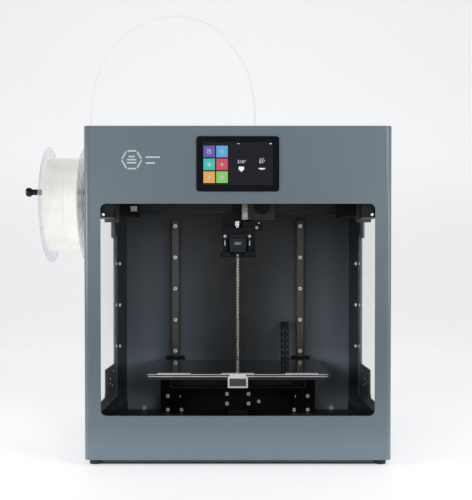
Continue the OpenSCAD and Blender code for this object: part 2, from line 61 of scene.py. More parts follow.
# ---------------------------------------------------------------- camera
SENSOR, LENS = 36.0, 63.648  # mm
HORIZON_DROP, SIDE_SHIFT = 0.0488, -0.0036  # shares of the frame's longer side
PITCH = math.radians(1.03)
CAMERA_AWAY, CAMERA_HEIGHT = 1.252, 0.272
front_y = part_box("front_panel")[0].y
camera_data = bpy.data.cameras.new("camera")
camera = bpy.data.objects.new("camera", camera_data)
bpy.context.scene.collection.objects.link(camera)
bpy.context.scene.camera = camera
camera_data.sensor_width = SENSOR
camera_data.lens = LENS
camera_data.shift_x = SIDE_SHIFT
camera_data.shift_y = HORIZON_DROP + LENS / SENSOR * math.tan(PITCH)
camera.location = (0.0, front_y - CAMERA_AWAY, CAMERA_HEIGHT)
camera.rotation_euler = (math.radians(90) - PITCH, 0.0, 0.0)

# ---------------------------------------------------------------- the feed tube, as two cords that meet
TUBE_D = 4 * MM
LOWER_ROUTE = [(-280, 175, 430), (-280, 175, 450), (-280, 175, 480), (-279, 174, 510), (-278, 173, 540),
               (-276, 170, 575), (-271, 164, 610), (-261, 156, 645), (-240, 142, 680), (-212, 125, 705),
               (-185, 108, 719), (-153, 89, 726), (-130.5, 73.3, 727)]
UPPER_ROUTE = [(-130, 73, 727), (-105, 57, 724), (-80, 41, 716), (-55, 23, 703), (-34, 6, 685),
               (-15, -10, 661), (2, -26, 634), (14, -38, 610), (22, -48, 582), (27, -56, 548),
               (27, -62, 512), (24, -65, 475), (18, -66, 438), (13, -66, 408), (12, -66, 386)]


def smooth_route(route, steps):
    """A Catmull-Rom curve through the route's points, in metres."""
    points = [Vector(p) * MM for p in route]
    out = []
    for i in range(len(points) - 1):
        a, b = points[max(i - 1, 0)], points[i]
        c, d = points[i + 1], points[min(i + 2, len(points) - 1)]
        for k in range(steps):
            t = k / steps
            out.append(0.5 * (2 * b + (c - a) * t + (2 * a - 5 * b + 4 * c - d) * t * t
                              + (3 * b - a - 3 * c + d) * t ** 3))
    out.append(points[-1])
    return out


def new_object(name, mesh):
    obj = bpy.data.objects.new(name, mesh)
    bpy.context.scene.collection.objects.link(obj)
    return obj


def mesh_object(name, vertices, faces, smooth=True):
    mesh = bpy.data.meshes.new(name)
    mesh.from_pydata([tuple(v) for v in vertices], [], faces)
    mesh.update()
    if smooth:
        mesh.shade_smooth()
    return new_object(name, mesh)


def tube(name, path, radius, sides=16, closed_ends=True):
    """A round tube along a path, with its rings turned as little as possible."""
    vertices, faces = [], []
    side = Vector((0, 1, 0.2))
    last = len(path) - 1
    for i, p in enumerate(path):
        d = (path[min(i + 1, last)] - path[max(i - 1, 0)]).normalized()
        side = (side - d * side.dot(d)).normalized()
        other = d.cross(side)
        for k in range(sides):
            a = 2 * math.pi * k / sides
            vertices.append(p + radius * (math.cos(a) * side + math.sin(a) * other))
    for i in range(last):
        for k in range(sides):
            k2 = (k + 1) % sides
            faces.append((i * sides + k, i * sides + k2, (i + 1) * sides + k2, (i + 1) * sides + k))
    if closed_ends:
        faces.append(tuple(range(sides - 1, -1, -1)))
        faces.append(tuple(last * sides + k for k in range(sides)))
    return mesh_object(name, vertices, faces)


def path_length(path):
    return sum((b - a).length for a, b in zip(path, path[1:]))


lower_path = smooth_route(LOWER_ROUTE, 6)
upper_path = smooth_route(UPPER_ROUTE, 6)
lower_tube = tube("feed_tube_lower_skin", lower_path, TUBE_D / 2)
upper_tube = tube("feed_tube_upper_skin", upper_path, TUBE_D / 2)
for piece, node, path in ((lower_tube, "feed_tube_lower", lower_path),
                          (upper_tube, "feed_tube_upper", upper_path)):
    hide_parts(node)

# ---------------------------------------------------------------- materials
BODY_COLOUR = (0.112, 0.146, 0.170)
BODY_ROUGH = 0.31
# Near-black painted shade for the faces of the side panels that look into the chamber.
INSIDE_SHADE_COLOUR = (0.010, 0.013, 0.016)
# Rear wall colour, before the wall paint scales it by its painted light and shade.
WALL_COLOUR = (0.048, 0.059, 0.070)
# The front's painted light and shade are scaled so that this height factor shows the plain body colour.
FRONT_PLAIN = 0.715  # height factor at which the front shows the plain body colour


class Paint:
    """A material with its principled shader and helpers that wire textures into it."""

    def __init__(self, name, colour, rough, metal=0.0, **sockets):
        self.material = bpy.data.materials.new(name)
        self.material.use_nodes = True
        self.tree = self.material.node_tree
        self.shader = self.tree.nodes["Principled BSDF"]
        self.colour = (*colour, 1.0)
        self.shader.inputs["Base Color"].default_value = self.colour
        self.shader.inputs["Roughness"].default_value = rough
        self.shader.inputs["Metallic"].default_value = metal
        for socket, value in sockets.items():
            self.shader.inputs[socket.replace("_", " ")].default_value = value
        self.coords = self.tree.nodes.new("ShaderNodeTexCoord").outputs["Object"]

    def stretched(self, scale):
        mapping = self.tree.nodes.new("ShaderNodeMapping")
        mapping.inputs["Scale"].default_value = scale
        self.tree.links.new(self.coords, mapping.inputs["Vector"])
        return mapping.outputs["Vector"]

    def noise(self, scale, detail=3.0, stretch=None):
        node = self.tree.nodes.new("ShaderNodeTexNoise")
        node.inputs["Scale"].default_value = scale
        node.inputs["Detail"].default_value = detail
        self.tree.links.new(self.stretched(stretch) if stretch else self.coords, node.inputs["Vector"])
        return node.outputs["Fac"]

    def ramp(self, factor, low, high, a=0.35, b=0.65):
        node = self.tree.nodes.new("ShaderNodeValToRGB")
        node.color_ramp.elements[0].position = a
        node.color_ramp.elements[0].color = (*low, 1) if hasattr(low, "__len__") else (low, low, low, 1)
        node.color_ramp.elements[1].position = b
        node.color_ramp.elements[1].color = (*high, 1) if hasattr(high, "__len__") else (high, high, high, 1)
        self.tree.links.new(factor, node.inputs["Fac"])
        return node.outputs["Color"]

    def component(self, vector, axis):
        split = self.tree.nodes.new("ShaderNodeSeparateXYZ")
        self.tree.links.new(vector, split.inputs["Vector"])
        return split.outputs[axis]

    def map_range(self, value, from_min, from_max, to_min=0.0, to_max=1.0):
        node = self.tree.nodes.new("ShaderNodeMapRange")
        for socket, end in (("From Min", from_min), ("From Max", from_max),
                            ("To Min", to_min), ("To Max", to_max)):
            node.inputs[socket].default_value = end
        self.tree.links.new(value, node.inputs["Value"])
        return node.outputs["Result"]

    def by_height(self, stops, top=0.5):
        """A factor that follows the height above the floor, through (height, value) stops."""
        share = self.map_range(self.component(self.coords, "Z"), 0.0, top)
        ramp = self.tree.nodes.new("ShaderNodeValToRGB")
        elements = ramp.color_ramp.elements
        for element, (height, value) in zip(elements, (stops[0], stops[-1])):
            element.position = height / top
            element.color = (value, value, value, 1)
        for height, value in stops[1:-1]:
            elements.new(height / top).color = (value, value, value, 1)
        self.tree.links.new(share, ramp.inputs["Fac"])
        return ramp.outputs["Color"]

    def scale_colour(self, colour, factor):
        """Base colour that is a fixed colour times a factor."""
        scale = self.tree.nodes.new("ShaderNodeVectorMath")
        scale.operation = "SCALE"
        scale.inputs[0].default_value = colour
        self.tree.links.new(factor, scale.inputs["Scale"])
        self.tree.links.new(scale.outputs[0], self.shader.inputs["Base Color"])

    def vary_colour(self, factor, share):
        base = self.colour[:3]
        low = [c * (1 - share) for c in base]
        high = [min(1.0, c * (1 + share)) for c in base]
        self.tree.links.new(self.ramp(factor, low, high), self.shader.inputs["Base Color"])

    def vary_rough(self, factor, low, high):
        self.tree.links.new(self.ramp(factor, low, high), self.shader.inputs["Roughness"])

    def coat_finish(self, rough):
        """Adds a powder coat's roughness and fine grain, and gives back the finished material."""
        self.vary_rough(self.noise(60.0, 3.0), rough - 0.02, rough + 0.03)
        return self.bump(self.noise(1500.0, 2.0), 0.03, 0.0001).material

    def bump(self, factor, strength, distance):
        node = self.tree.nodes.new("ShaderNodeBump")
        node.inputs["Strength"].default_value = strength
        node.inputs["Distance"].default_value = distance
        self.tree.links.new(factor, node.inputs["Height"])
        self.tree.links.new(node.outputs["Normal"], self.shader.inputs["Normal"])
        return self


def powder_coat(name, colour, rough=0.42):
    paint = Paint(name, colour, rough, Specular_IOR_Level=0.5)
    paint.vary_colour(paint.noise(9.0, 2.0), 0.02)
    return paint.coat_finish(rough)


def front_painted_light(name, colour, rough=BODY_ROUGH):
    """Body paint of the front with painted light and shade: palest near the floor as painted bounce light,
    painted shade beside the opening, paler again above it as painted light.
    """
    paint = Paint(name, colour, rough, Specular_IOR_Level=0.5)
    height = paint.by_height([(0.026, 1.0), (0.055, 0.79), (0.083, 0.72), (0.11, 0.63), (0.17, 0.57),
                              (0.30, 0.60), (0.37, 0.73), (0.485, 0.80)])
    paint.scale_colour([c / FRONT_PLAIN for c in colour], height)
    return paint.coat_finish(rough)


def body_paint_with_inner_shade(name, outside, inside, side):
    """Body paint outside, and near-black painted shade on the faces that look into the chamber."""
    paint = Paint(name, outside, BODY_ROUGH, Specular_IOR_Level=0.4)
    normal = paint.tree.nodes.new("ShaderNodeNewGeometry").outputs["Normal"]
    inward = paint.map_range(paint.component(normal, "X"), side * 0.1, -side * 0.5)
    mixed = paint.ramp(inward, outside, inside, 0.3, 0.7)
    paint.tree.links.new(mixed, paint.shader.inputs["Base Color"])
    return paint.coat_finish(BODY_ROUGH)


def wall_painted_light(name, colour, rough=0.46):
    """Chamber paint for the rear wall with painted light and shade: far paler low down and at the sides as
    painted light from the windows, dark in the middle and on top as painted shade.
    """
    paint = Paint(name, colour, rough)
    side = paint.tree.nodes.new("ShaderNodeMath")
    side.operation = "ABSOLUTE"
    paint.tree.links.new(paint.component(paint.coords, "X"), side.inputs[0])
    # Painted light from the windows: up to 8.6 times paler towards the sides.
    across = paint.map_range(side.outputs[0], 0.03, 0.17, 0.85, 8.6)
    # Painted shade: darker with height, down to 0.07 times at the top.
    height = paint.by_height([(0.05, 1.0), (0.09, 0.9), (0.13, 0.52), (0.18, 0.38), (0.25, 0.27),
                              (0.375, 0.07)])
    share = paint.tree.nodes.new("ShaderNodeMath")
    share.operation = "MULTIPLY"
    paint.tree.links.new(across, share.inputs[0])
    paint.tree.links.new(height, share.inputs[1])
    paint.scale_colour(colour, share.outputs[0])
    paint.vary_rough(paint.noise(60.0, 3.0), rough - 0.05, rough + 0.08)
    return paint.bump(paint.noise(1500.0, 2.0), 0.05, 0.0002).material


def moulded(name, colour, rough=0.5, sheen=0.5):
    paint = Paint(name, colour, rough, Specular_IOR_Level=sheen)
    paint.vary_colour(paint.noise(40.0), 0.08)
    paint.vary_rough(paint.noise(120.0), rough - 0.06, rough + 0.08)
    return paint.bump(paint.noise(2600.0, 1.0), 0.12, 0.00012).material


def brushed(name, colour, rough=0.3, stretch=(40, 40, 1200), metal=1.0):
    paint = Paint(name, colour, rough, metal=metal)
    paint.vary_colour(paint.noise(1.0, 4.0, stretch), 0.05)
    paint.vary_rough(paint.noise(1.0, 3.0, stretch), rough - 0.03, rough + 0.06)
    return paint.bump(paint.noise(1.0, 2.0, stretch), 0.02, 0.00005).material


def glow(name, colour, strength):
    """A lit patch of the screen: a dark gloss surface that gives off its colour."""
    paint = Paint(name, [c * 0.25 for c in colour], 0.2)
    grain = paint.ramp(paint.noise(900.0, 1.0), [c * 0.93 for c in colour], colour)
    paint.tree.links.new(grain, paint.shader.inputs["Emission Color"])
    paint.shader.inputs["Emission Strength"].default_value = strength
    return paint.material


def clear_plastic(name, tint, rough, alpha):
    paint = Paint(name, tint, rough, IOR=1.49, Alpha=alpha)
    paint.vary_rough(paint.noise(30.0), rough, rough + 0.06)
    return paint.bump(paint.noise(25.0, 1.0), 0.03, 0.001).material


def gloss_coat(name, colour, rough):
    """A dark mirror-like coating with faint waves and wipe marks."""
    paint = Paint(name, colour, rough, Specular_IOR_Level=0.6)
    paint.vary_colour(paint.noise(6.0), 0.1)
    paint.vary_rough(paint.noise(14.0, 4.0, (1.0, 3.0, 1.0)), rough - 0.02, rough + 0.05)
    return paint.bump(paint.noise(5.0, 1.0), 0.02, 0.002).material


LOOKS = {
    "body_paint": powder_coat("body_paint", BODY_COLOUR, BODY_ROUGH),
    "chamber_paint": powder_coat("chamber_paint", (0.050, 0.060, 0.069), 0.46),
    "clear_acrylic": clear_plastic("clear_acrylic", (0.93, 0.95, 0.97), 0.03, 0.12),
    "dark_steel": powder_coat("dark_steel", (0.014, 0.015, 0.017), 0.36),
    "rubber_foot": moulded("rubber_foot", (0.016, 0.016, 0.017), 0.75),
    "screw_steel": brushed("screw_steel", (0.90, 0.90, 0.90), 0.24, metal=0.25),
    "screen_glass": moulded("screen_glass", (0.005, 0.006, 0.008), 0.16, 0.16),
    "black_plastic": moulded("black_plastic", (0.004, 0.005, 0.006), 0.38, 0.2),
    "black_gloss": moulded("black_gloss", (0.003, 0.003, 0.003), 0.2, 0.35),
    "bed_black": powder_coat("bed_black", (0.008, 0.008, 0.009), 0.34),
    # carrier_black: the carrier's black finish, darkened further with little sheen as painted shadow under
    # the bed.
    "carrier_black": moulded("carrier_black", (0.005, 0.005, 0.006), 0.5, 0.2),
    "psu_case": brushed("psu_case", (0.66, 0.67, 0.68), 0.36, (900, 30, 30)),
    "circuit_board": moulded("circuit_board", (0.015, 0.085, 0.04), 0.4),
    "spool_clear": clear_plastic("spool_clear", (0.80, 0.84, 0.87), 0.06, 0.30),
    "filament_white": moulded("filament_white", (0.70, 0.69, 0.655), 0.34),
    "tube_clear": clear_plastic("tube_clear", (0.74, 0.75, 0.77), 0.4, 0.14),
    "rail_steel": brushed("rail_steel", (0.105, 0.100, 0.092), 0.36, (300, 300, 8)),
    "screw_thread": brushed("screw_thread", (0.66, 0.61, 0.55), 0.3, (200, 200, 200)),
    "brass_part": brushed("brass_part", (0.70, 0.50, 0.22), 0.3, (200, 200, 200)),
    "motor_case": powder_coat("motor_case", (0.012, 0.015, 0.018), 0.36),
    "alloy": brushed("alloy", (0.70, 0.71, 0.73), 0.3, (300, 30, 300)),
    "beam_alloy": brushed("beam_alloy", (0.045, 0.047, 0.050), 0.4, (10, 300, 300)),
    "belt_rubber": moulded("belt_rubber", (0.014, 0.014, 0.015), 0.7),
    "chain_plastic": moulded("chain_plastic", (0.012, 0.012, 0.013), 0.42, 0.4),
    "edge_bright": moulded("edge_bright", (0.80, 0.80, 0.79), 0.3),
    "plate_coating": gloss_coat("plate_coating", (0.010, 0.010, 0.012), 0.07),
    "cover_paint": moulded("cover_paint", (0.010, 0.018, 0.026), 0.38, 0.3),
}


def add_glow(material, colour, strength):
    """A small even glow on top of a finished material."""
    shader = material.node_tree.nodes["Principled BSDF"]
    shader.inputs["Emission Color"].default_value = (*colour, 1)
    shader.inputs["Emission Strength"].default_value = strength


def give(obj, material):
    obj.data.materials.clear()
    obj.data.materials.append(material)


for entry in frame["record"]["subparts"]:
    give(nodes[entry["node"]], LOOKS[entry["material_slot"]])
give(nodes["rear_partition"], wall_painted_light("rear_wall_painted_light", WALL_COLOUR))
give(nodes["front_panel"], front_painted_light("front_painted_light", BODY_COLOUR))
for side, word in ((-1, "left"), (1, "right")):
    give(nodes[word + "_side_panel"], body_paint_with_inner_shade(word + "_side_paint_and_shade", BODY_COLOUR, INSIDE_SHADE_COLOUR, side))
# The bed carrier and Z blocks are near-black partly as painted shadow under the bed.
for node in ("bed_carrier", "z_blocks"):
    give(nodes[node], LOOKS["carrier_black"])
give(nodes["x_rail"], LOOKS["beam_alloy"])
# Painted light: a small glow on the wound filament, which is no lamp.
add_glow(LOOKS["filament_white"], (1.0, 0.985, 0.94), 0.28)
# Pale zinc plating on the bolts and frame screws, with a small glow that paints their glints.
zinc_with_painted_glint = moulded("zinc_plating_painted_glint", (0.86, 0.87, 0.88), 0.24, 0.8)
add_glow(zinc_with_painted_glint, (0.9, 0.92, 0.95), 0.14)
for node in ("carrier_bolts", "frame_screws"):
    give(nodes[node], zinc_with_painted_glint)
for piece in (lower_tube, upper_tube):
    give(piece, LOOKS["tube_clear"])
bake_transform(lower_tube)
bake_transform(upper_tube)

# ---------------------------------------------------------------- floor, backdrop and light
SWEEP_R = 0.8
SWEEP_STEPS = 12
FLOOR_FRONT, FLOOR_BACK = -4.0, 1.6
FLOOR_HALF_W, BACKDROP_TOP = 5.0, 5.0


def studio():
    """A pale floor that curves up into a backdrop."""
    profile = [(FLOOR_FRONT, 0.0), (FLOOR_BACK, 0.0)]
    for i in range(1, SWEEP_STEPS + 1):
        a = math.radians(90 * i / SWEEP_STEPS)
        profile.append((FLOOR_BACK + SWEEP_R * math.sin(a), SWEEP_R - SWEEP_R * math.cos(a)))
    profile.append((FLOOR_BACK + SWEEP_R, BACKDROP_TOP))
    vertices = [(x, y, z) for y, z in profile for x in (-FLOOR_HALF_W, FLOOR_HALF_W)]
    faces = [(2 * i, 2 * i + 1, 2 * i + 3, 2 * i + 2) for i in range(len(profile) - 1)]
    floor = mesh_object("studio_floor", vertices, faces)
    paper = Paint("studio_paper", (0.74, 0.74, 0.745), 0.6)
    paper.vary_colour(paper.noise(1.2, 2.0), 0.006)
    add_glow(paper.material, (0.985, 0.985, 1.0), 0.46)
    give(floor, paper.material)


def area_light(name, place, aim, size, power):
    data = bpy.data.lights.new(name, "AREA")
    data.shape = "RECTANGLE"
    data.size, data.size_y = size
    data.energy = power
    light = bpy.data.objects.new(name, data)
    light.location = place
    light.rotation_euler = (Vector(aim) - Vector(place)).to_track_quat("-Z", "Y").to_euler()
    bpy.context.scene.collection.objects.link(light)


studio()
area_light("key_light", (-0.75, -1.85, 0.38), (0.05, 0, 0.1), (0.9, 0.25), 3.0)
area_light("fill_light", (0.8, -1.85, 0.36), (0, 0, 0.1), (0.8, 0.25), 3.0)
area_light("near_light", (0.80, -1.05, 1.0), (0.15, -0.25, 0.42), (0.5, 0.5), 4.4)
area_light("left_light", (-1.35, -0.65, 0.50), (0.1, 0.2, 0.2), (0.7, 0.6), 11)
area_light("right_light", (1.35, -0.65, 0.45), (-0.1, 0.2, 0.2), (0.7, 0.6), 7)
area_light("top_light", (0, -0.2, 2.6), (0, -0.2, 0), (2.4, 2.4), 4)
area_light("back_light", (0, 1.5, 2.6), (0, 2.3, 0.6), (3.5, 1.0), 3)
world = bpy.data.worlds.new("studio_world")
bpy.context.scene.world = world
world.use_nodes = True
world.node_tree.nodes["Background"].inputs["Color"].default_value = (0.93, 0.96, 1.0, 1)
world.node_tree.nodes["Background"].inputs["Strength"].default_value = 0.16
bpy.context.scene.view_settings.view_transform = "Standard"

# ---------------------------------------------------------------- small mesh helpers


def box_mesh(bm, lo, hi):
    """Adds a block between two corners to a bmesh."""
    made = bmesh.ops.create_cube(bm, size=1.0)["verts"]
    for v in made:
        v.co = Vector([lo[i] + (v.co[i] + 0.5) * (hi[i] - lo[i]) for i in range(3)])


def cylinder_mesh(bm, centre, radius, depth, axis="Z", sides=32, top=None):
    made = bmesh.ops.create_cone(bm, cap_ends=True, segments=sides, radius1=radius,
                                 radius2=radius if top is None else top, depth=depth)["verts"]
    for v in made:
        x, y, z = v.co
        turned = {"Z": Vector((x, y, z)), "Y": Vector((x, z, -y)), "X": Vector((z, y, -x))}[axis]
        v.co = turned + Vector(centre)


def finished(name, bm, material, body, bevel=0.0, smooth=False):
    """Turns a bmesh into a piece with a bevel, a material and a body."""
    mesh = bpy.data.meshes.new(name)
    bm.to_mesh(mesh)
    bm.free()
    obj = new_object(name, mesh)
    if smooth:
        mesh.shade_smooth()
    if bevel:
        modifier = obj.modifiers.new("edge", "BEVEL")
        modifier.width = bevel
        modifier.segments = 2
        modifier.limit_method = "ANGLE"
    give(obj, material)
    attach(obj, body)
    return obj


def lathe(name, profile, centre, axis, material, body, sides=96):
    """A closed ring or disc: (along, radius) points turned about an axis through centre."""
    vertices, faces = [], []
    count = len(profile)
    for s in range(sides):
        a = 2 * math.pi * s / sides
        for along, radius in profile:
            c, d = radius * math.cos(a), radius * math.sin(a)
            offset = {"X": (along, c, d), "Z": (c, d, along), "Y": (d, along, c)}[axis]
            vertices.append(Vector(centre) + Vector(offset))
    for s in range(sides):
        s2 = (s + 1) % sides
        for i in range(count):
            j = (i + 1) % count
            faces.append((s * count + i, s * count + j, s2 * count + j, s2 * count + i))
    obj = mesh_object(name, vertices, faces)
    bm = bmesh.new()
    bm.from_mesh(obj.data)
    bmesh.ops.recalc_face_normals(bm, faces=bm.faces)
    bm.to_mesh(obj.data)
    bm.free()
    give(obj, material)
    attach(obj, body)
    return obj


def soften(node, width=0.0004):
    """Rounds a CAD node's edges a little, so that they catch the light."""
    weld = nodes[node].modifiers.new("weld", "WELD")
    weld.merge_threshold = 0.00001
    bevel = nodes[node].modifiers.new("edge", "BEVEL")
    bevel.width = width
    bevel.segments = 2
    bevel.limit_method = "ANGLE"
    bevel.angle_limit = math.radians(40)
    bevel.use_clamp_overlap = True


# ---------------------------------------------------------------- touch screen
SCREEN_TILES = [(0.115, 0.085, 0.30), (0.085, 0.31, 0.56), (0.045, 0.42, 0.36), (0.50, 0.065, 0.095),
                (0.62, 0.31, 0.07), (0.20, 0.46, 0.12)]
TILE = 16.2 * MM
LIT_W, LIT_H = 99 * MM, 60.6 * MM


def text_mesh(name, body_text, size, place, depth=0.00008):
    """Generic figures as a thin mesh that stands across Y."""
    curve = bpy.data.curves.new(name, "FONT")
    curve.body = body_text
    curve.size = size
    curve.extrude = depth
    curve.space_character = 1.12
    curve.align_x = "CENTER"
    curve.align_y = "CENTER"
    holder = new_object(name + "_curve", curve)
    bpy.context.view_layer.update()
    mesh = bpy.data.meshes.new_from_object(holder.evaluated_get(bpy.context.evaluated_depsgraph_get()))
    bpy.data.objects.remove(holder)
    obj = new_object(name, mesh)
    for v in mesh.vertices:
        x, y, z = v.co
        v.co = Vector((x, -z, y)) + Vector(place)
    return obj


def touch_screen():
    lo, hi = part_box("touch_screen")
    face = lo.y - 0.00025
    mid = Vector(((lo.x + hi.x) / 2, face, (lo.z + hi.z) / 2))
    mid.z += 0.0004
    dark = glow("screen_dark", (0.012, 0.013, 0.018), 0.6)
    white = glow("screen_white", (0.80, 0.82, 0.86), 0.85)
    soft = glow("screen_soft", (0.42, 0.46, 0.50), 0.9)
    bm = bmesh.new()
    box_mesh(bm, (mid.x - LIT_W / 2, face, mid.z - LIT_H / 2),
             (mid.x + LIT_W / 2, face + 0.0003, mid.z + LIT_H / 2))
    finished("screen_panel", bm, dark, "root")
    left = mid.x - LIT_W / 2 + 1.0 * MM
    top = mid.z + LIT_H / 2 - 5.2 * MM
    for i, colour in enumerate(SCREEN_TILES):
        column, row = i % 2, i // 2
        x = left + column * (TILE + 1.9 * MM)
        z = top - (row + 1) * TILE - row * 1.9 * MM
        bm = bmesh.new()
        box_mesh(bm, (x, face - 0.0001, z), (x + TILE, face, z + TILE))
        finished(f"screen_tile_{i}", bm, glow(f"screen_tile_{i}", colour, 1.0), "root")
        bm = bmesh.new()
        tile_icon(bm, i, x + TILE / 2, face - 0.00018, z + TILE / 2)
        finished(f"screen_icon_{i}", bm, soft, "root")
    bm = bmesh.new()
    for x, kind in ((mid.x + 5.0 * MM, "nozzle"), (mid.x + 34.0 * MM, "bed")):
        z = mid.z - 7.5 * MM
        if kind == "nozzle":
            box_mesh(bm, (x - 3.8 * MM, face - 0.0002, z - 1.4 * MM), (x + 3.8 * MM, face, z + 3.2 * MM))
            box_mesh(bm, (x - 2.2 * MM, face - 0.0002, z - 2.8 * MM), (x + 2.2 * MM, face, z - 1.4 * MM))
            box_mesh(bm, (x - 0.8 * MM, face - 0.0002, z - 4.0 * MM), (x + 0.8 * MM, face, z - 2.8 * MM))
        else:
            box_mesh(bm, (x - 4.6 * MM, face - 0.0002, z - 0.3 * MM), (x + 4.6 * MM, face, z + 1.2 * MM))
            box_mesh(bm, (x - 1.8 * MM, face - 0.0002, z - 1.2 * MM), (x + 1.8 * MM, face, z - 0.3 * MM))
            for k in (-1, 0, 1):
                box_mesh(bm, (x + (k * 2.2 - 0.25) * MM, face - 0.0002, z + 12.9 * MM),
                         (x + (k * 2.2 + 0.25) * MM, face, z + 15.3 * MM))
    for k in range(3):
        box_mesh(bm, (mid.x + (-1.0 + k * 1.5) * MM, face - 0.0002, mid.z + 27.6 * MM),
                 (mid.x + (-0.2 + k * 1.5) * MM, face, mid.z + 28.4 * MM))
    box_mesh(bm, (mid.x + 45.0 * MM, face - 0.0002, mid.z + 27.3 * MM),
             (mid.x + 47.4 * MM, face, mid.z + 28.7 * MM))
    finished("screen_symbols", bm, white, "root")
    for name, figures, x in (("screen_nozzle_value", "210°", 5.6), ("screen_bed_value", "55°", 34.4)):
        figure = text_mesh(name, figures, 6.0 * MM, (mid.x + x * MM, face - 0.0001, mid.z + 2.4 * MM))
        give(figure, white)
        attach(figure, "root")


def tile_icon(bm, kind, x, y, z):
    """One plain pale sign per tile: frame, bars, file, cross, lamp or gear."""
    def bar(x0, z0, x1, z1):
        k = 0.74 * MM
        box_mesh(bm, (x + x0 * k, y, z + z0 * k), (x + x1 * k, y + 0.00009, z + z1 * k))
    if kind == 0:
        for a, b, c, d in ((-4, -4, -3, 4), (3, -4, 4, 4), (-4, 3, 4, 4), (-4, -4, 4, -3), (-1, -1, 1, 3)):
            bar(a, b, c, d)
    elif kind == 1:
        for i, w in enumerate((4, 3, 4)):
            bar(-w, -3.5 + i * 2.8, w, -2.3 + i * 2.8)
    elif kind == 2:
        bar(-3.2, -4, 3.2, 2.2)
        bar(-3.2, 2.8, 0.6, 4)
    elif kind == 3:
        for a, b, c, d in ((-0.7, -4, 0.7, 4), (-4, -0.7, 4, 0.7)):
            bar(a, b, c, d)
    elif kind == 4:
        cylinder_mesh(bm, (x, y + 0.00005, z + 0.6 * MM), 1.9 * MM, 0.00009, "Y", 24)
        bar(-1.2, -4.2, 1.2, -2.4)
    else:
        cylinder_mesh(bm, (x, y + 0.00005, z), 2.0 * MM, 0.00009, "Y", 24)
        for k in range(8):
            a = math.radians(45 * k)
            cx, cz = 3.6 * math.cos(a), 3.6 * math.sin(a)
            bar(cx - 0.7, cz - 0.7, cx + 0.7, cz + 0.7)


# ---------------------------------------------------------------- plain mark: layers in a hexagon, and bars
def front_mark():
    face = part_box("front_panel")[0].y - 0.00015
    pale = moulded("mark_print", (0.50, 0.53, 0.55), 0.5)
    bm = bmesh.new()
    cx, cz = -150 * MM, 434 * MM
    for k in range(6):
        a0, a1 = math.radians(60 * k + 4), math.radians(60 * k + 56)
        outer = [Vector((cx + 15 * MM * math.cos(a), face, cz + 15 * MM * math.sin(a))) for a in (a0, a1)]
        inner = [Vector((cx + 12.6 * MM * math.cos(a), face, cz + 12.6 * MM * math.sin(a))) for a in (a0, a1)]
        ring = [bm.verts.new(v) for v in (outer[0], outer[1], inner[1], inner[0])]
        made = bmesh.ops.extrude_face_region(bm, geom=[bm.faces.new(ring)])["geom"]
        for v in made:
            if isinstance(v, bmesh.types.BMVert):
                v.co.y += 0.0002
    for k, w in enumerate((13, 13, 9)):
        z = cz + (-5.4 + k * 4.4) * MM
        box_mesh(bm, (cx - w / 2 * MM, face, z), (cx + w / 2 * MM, face + 0.0002, z + 2.2 * MM))
    for k, w in enumerate((20, 13)):
        z = cz + (2.6 - k * 8.4) * MM
        box_mesh(bm, (cx + 20 * MM, face, z), (cx + (20 + w) * MM, face + 0.0002, z + 2.2 * MM))
    bmesh.ops.recalc_face_normals(bm, faces=bm.faces)
    finished("front_mark", bm, pale, "root")


# ---------------------------------------------------------------- spool and filament
WRAP = 1.78 * MM
WRAP_SINK = 0.45  # how far a wrap's edges sink, as a share of half its width


def spool_and_filament():
    """The wound filament with a few gaps between its wraps, and the clear spool's flanges and hub."""
    lo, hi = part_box("filament")
    mid = (lo + hi) / 2
    outer = (hi.z - lo.z) / 2 - 0.0004
    half = (hi.x - lo.x) / 2
    wraps = int(2 * half / WRAP)
    profile = []
    gap = 0
    for i in range(wraps):
        centre = -half + WRAP * (i + 0.5)
        lift = rng.uniform(-0.0002, 0.0001) - 0.0010 * (abs(centre) / half) ** 4
        if i == gap and i:
            profile += [(centre - WRAP * 0.62, outer - 0.0042), (centre - WRAP * 0.40, outer - 0.0042)]
            gap = i + rng.choice((3, 4, 4, 5))
        elif i == 0:
            gap = 3
        for k in range(5):
            a = math.pi * (k + 0.5) / 5
            sink = WRAP_SINK * WRAP / 2 * (1 - math.sin(a))
            profile.append((centre - WRAP / 2 * math.cos(a), outer + lift - sink))
    profile += [(half, outer - 0.004), (half, 0.0325), (-half, 0.0325), (-half, outer - 0.004)]
    winding = lathe("filament_winding", profile, mid, "X", LOOKS["filament_white"], "spool_assembly",
                    160)
    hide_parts("filament")
    lo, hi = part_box("spool")
    mid = (lo + hi) / 2
    radius = (hi.z - lo.z) / 2
    width = (hi.x - lo.x) / 2
    t = 2.4 * MM
    rib = 3.0 * MM
    for side in (-1, 1):
        x0, x1 = side * width, side * (width - t)
        step = x0 - side * 0.9 * MM
        flange = [(x0, radius - 0.6 * MM), (x0, radius - rib), (step, radius - rib - 1 * MM),
                  (step, 0.046), (x0, 0.044), (x0, 0.0285), (x1, 0.0285), (x1, radius - 0.6 * MM),
                  ((x0 + x1) / 2, radius)]
        piece = lathe("spool_flange_" + ("left" if side < 0 else "right"), flange, mid, "X",
                      LOOKS["spool_clear"], "spool_assembly", 128)
        if side < 0:
            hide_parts("spool")
        spokes(side, mid, width, radius)
    hub = [(-width + t, 0.0283), (-width + t, 0.0312), (width - t, 0.0312), (width - t, 0.0283)]
    lathe("spool_hub", hub, mid, "X", LOOKS["spool_clear"], "spool_assembly", 96)


